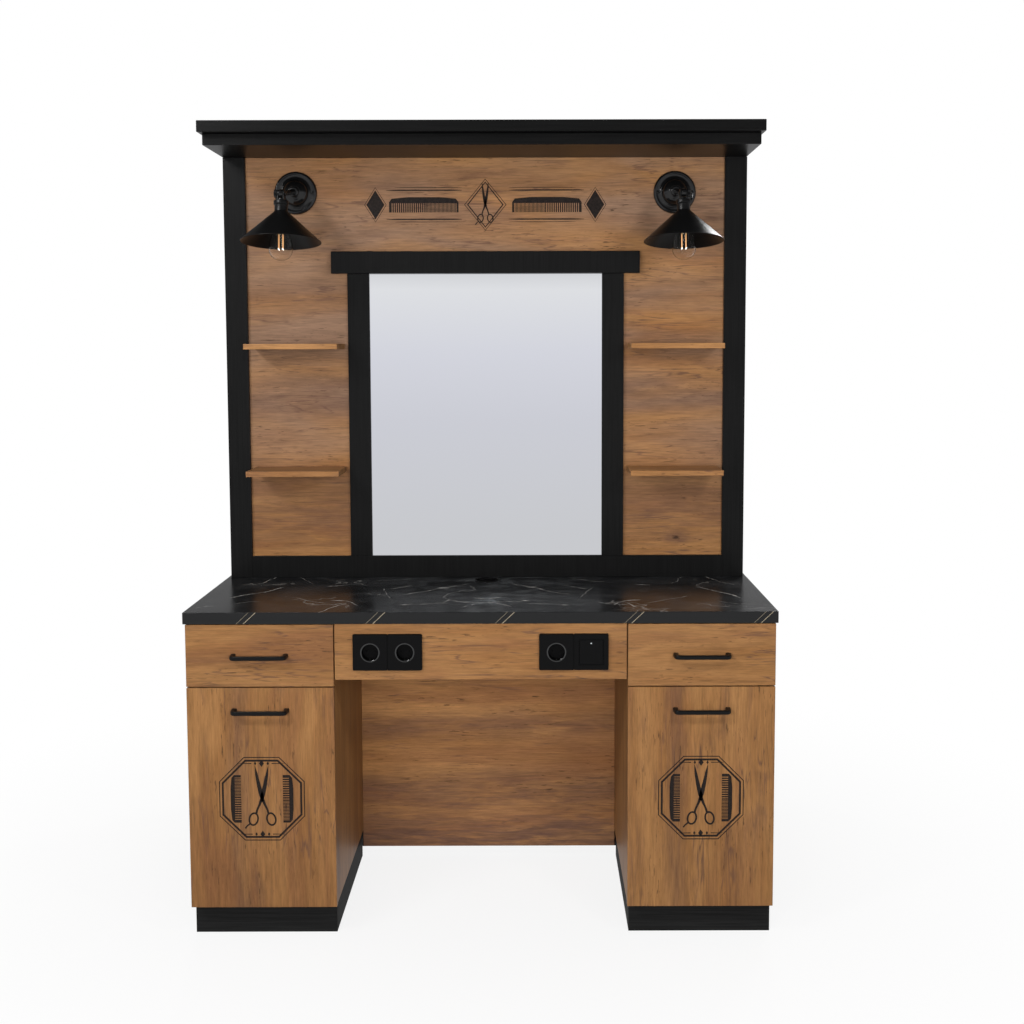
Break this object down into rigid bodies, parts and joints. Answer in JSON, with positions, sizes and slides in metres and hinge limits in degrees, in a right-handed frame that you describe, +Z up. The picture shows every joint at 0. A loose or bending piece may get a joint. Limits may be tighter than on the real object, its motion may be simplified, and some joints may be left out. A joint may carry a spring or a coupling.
{
  "type": "salon station",
  "caption": "Free-standing double-sided salon dressing station: drawers, door cupboards, outlets and a marble-look worktop on each side of a mirror tower with shelves and tilting wall lamps.",
  "frame": {"origin": "on the floor, at the middle of the footprint", "axes": "+Z up; -Y towards the person at the front side, +X to that person's right; the rear side is the front side turned half a turn about Z"},
  "size_m": [1.4, 1.119, 1.969],
  "materials": {
    "oak_board": "rustic oak decor, matt",
    "black_board": "black melamine, satin",
    "black_marble": "black veined marble laminate on board, satin",
    "drawer_board": "pale melamine",
    "mirror_glass": "polished",
    "black_metal": "black powder coat, semi-gloss",
    "black_plastic": "satin",
    "runner_steel": "galvanised sheet",
    "hinge_steel": "nickel plate",
    "bulb_glass": "clear"
  },
  "bodies": {
    "station": {"worktop_front": "black_marble", "worktop_rear": "black_marble", "pedestal_sides": "oak_board", "pedestal_decks": "oak_board", "pedestal_backs": "oak_board", "plinth_boards": "black_board", "cabinet_runners": "runner_steel", "hinge_mounts": "hinge_steel", "aprons": "oak_board", "knee_panels": "oak_board", "tower_core": "black_board", "tower_panels": "oak_board", "face_strips": "black_board", "mirrors": "mirror_glass", "mirror_frames": "black_board", "wall_shelves": "oak_board", "cornice_soffit": "black_board", "cornice_cap": "black_board", "cable_grommets": "black_plastic", "outlet_modules": "black_plastic", "lamp_brackets": "black_metal", "lamp_plate_screws": "black_metal"},
    "drawer_front_left": {"drawer_front_front_left": "oak_board", "drawer_box_front_left": "drawer_board", "drawer_slides_front_left": "runner_steel", "drawer_handle_front_left": "black_metal"},
    "drawer_front_right": {"drawer_front_front_right": "oak_board", "drawer_box_front_right": "drawer_board", "drawer_slides_front_right": "runner_steel", "drawer_handle_front_right": "black_metal"},
    "drawer_rear_left": {"drawer_front_rear_left": "oak_board", "drawer_box_rear_left": "drawer_board", "drawer_slides_rear_left": "runner_steel", "drawer_handle_rear_left": "black_metal"},
    "drawer_rear_right": {"drawer_front_rear_right": "oak_board", "drawer_box_rear_right": "drawer_board", "drawer_slides_rear_right": "runner_steel", "drawer_handle_rear_right": "black_metal"},
    "door_front_left": {"door_panel_front_left": "oak_board", "door_hinge_cups_front_left": "hinge_steel", "door_handle_front_left": "black_metal"},
    "door_front_right": {"door_panel_front_right": "oak_board", "door_hinge_cups_front_right": "hinge_steel", "door_handle_front_right": "black_metal"},
    "door_rear_left": {"door_panel_rear_left": "oak_board", "door_hinge_cups_rear_left": "hinge_steel", "door_handle_rear_left": "black_metal"},
    "door_rear_right": {"door_panel_rear_right": "oak_board", "door_hinge_cups_rear_right": "hinge_steel", "door_handle_rear_right": "black_metal"},
    "lamp_head_front_left": {"lamp_shade_front_left": "black_metal", "lamp_bulb_front_left": "bulb_glass"},
    "lamp_head_front_right": {"lamp_shade_front_right": "black_metal", "lamp_bulb_front_right": "bulb_glass"},
    "lamp_head_rear_left": {"lamp_shade_rear_left": "black_metal", "lamp_bulb_rear_left": "bulb_glass"},
    "lamp_head_rear_right": {"lamp_shade_rear_right": "black_metal", "lamp_bulb_rear_right": "bulb_glass"},
    "rocker_front": {"switch_rocker_front": "black_plastic"},
    "rocker_rear": {"switch_rocker_rear": "black_plastic"}
  },
  "joints": [
    {"name": "drawer_slide_front_left", "type": "slide", "parent": "station", "child": "drawer_front_left", "axis": [0, -1, 0], "range_m": [0, 0.3]},
    {"name": "drawer_slide_front_right", "type": "slide", "parent": "station", "child": "drawer_front_right", "axis": [0, -1, 0], "range_m": [0, 0.3]},
    {"name": "drawer_slide_rear_left", "type": "slide", "parent": "station", "child": "drawer_rear_left", "axis": [0, 1, 0], "range_m": [0, 0.3]},
    {"name": "drawer_slide_rear_right", "type": "slide", "parent": "station", "child": "drawer_rear_right", "axis": [0, 1, 0], "range_m": [0, 0.3]},
    {"name": "door_hinge_front_left", "type": "hinge", "parent": "station", "child": "door_front_left", "pos_m": [-0.689, -0.5235, 0.347], "axis": [0, 0, -1], "range_deg": [0, 95]},
    {"name": "door_hinge_front_right", "type": "hinge", "parent": "station", "child": "door_front_right", "pos_m": [0.689, -0.5235, 0.347], "axis": [0, 0, 1], "range_deg": [0, 95]},
    {"name": "door_hinge_rear_left", "type": "hinge", "parent": "station", "child": "door_rear_left", "pos_m": [-0.689, 0.5235, 0.347], "axis": [0, 0, 1], "range_deg": [0, 95]},
    {"name": "door_hinge_rear_right", "type": "hinge", "parent": "station", "child": "door_rear_right", "pos_m": [0.689, 0.5235, 0.347], "axis": [0, 0, -1], "range_deg": [0, 95]},
    {"name": "lamp_tilt_front_left", "type": "hinge", "parent": "station", "child": "lamp_head_front_left", "pos_m": [-0.501, -0.2705, 1.796], "axis": [-1, 0, 0], "range_deg": [-30, 80]},
    {"name": "lamp_tilt_front_right", "type": "hinge", "parent": "station", "child": "lamp_head_front_right", "pos_m": [0.501, -0.2705, 1.796], "axis": [-1, 0, 0], "range_deg": [-30, 80]},
    {"name": "lamp_tilt_rear_left", "type": "hinge", "parent": "station", "child": "lamp_head_rear_left", "pos_m": [-0.501, 0.2705, 1.796], "axis": [1, 0, 0], "range_deg": [-30, 80]},
    {"name": "lamp_tilt_rear_right", "type": "hinge", "parent": "station", "child": "lamp_head_rear_right", "pos_m": [0.501, 0.2705, 1.796], "axis": [1, 0, 0], "range_deg": [-30, 80]},
    {"name": "rocker_tilt_front", "type": "hinge", "parent": "station", "child": "rocker_front", "pos_m": [0.25975, -0.5335, 0.7], "axis": [1, 0, 0], "range_deg": [0, 8]},
    {"name": "rocker_tilt_rear", "type": "hinge", "parent": "station", "child": "rocker_rear", "pos_m": [-0.25975, 0.5335, 0.7], "axis": [-1, 0, 0], "range_deg": [0, 8]}
  ]
}
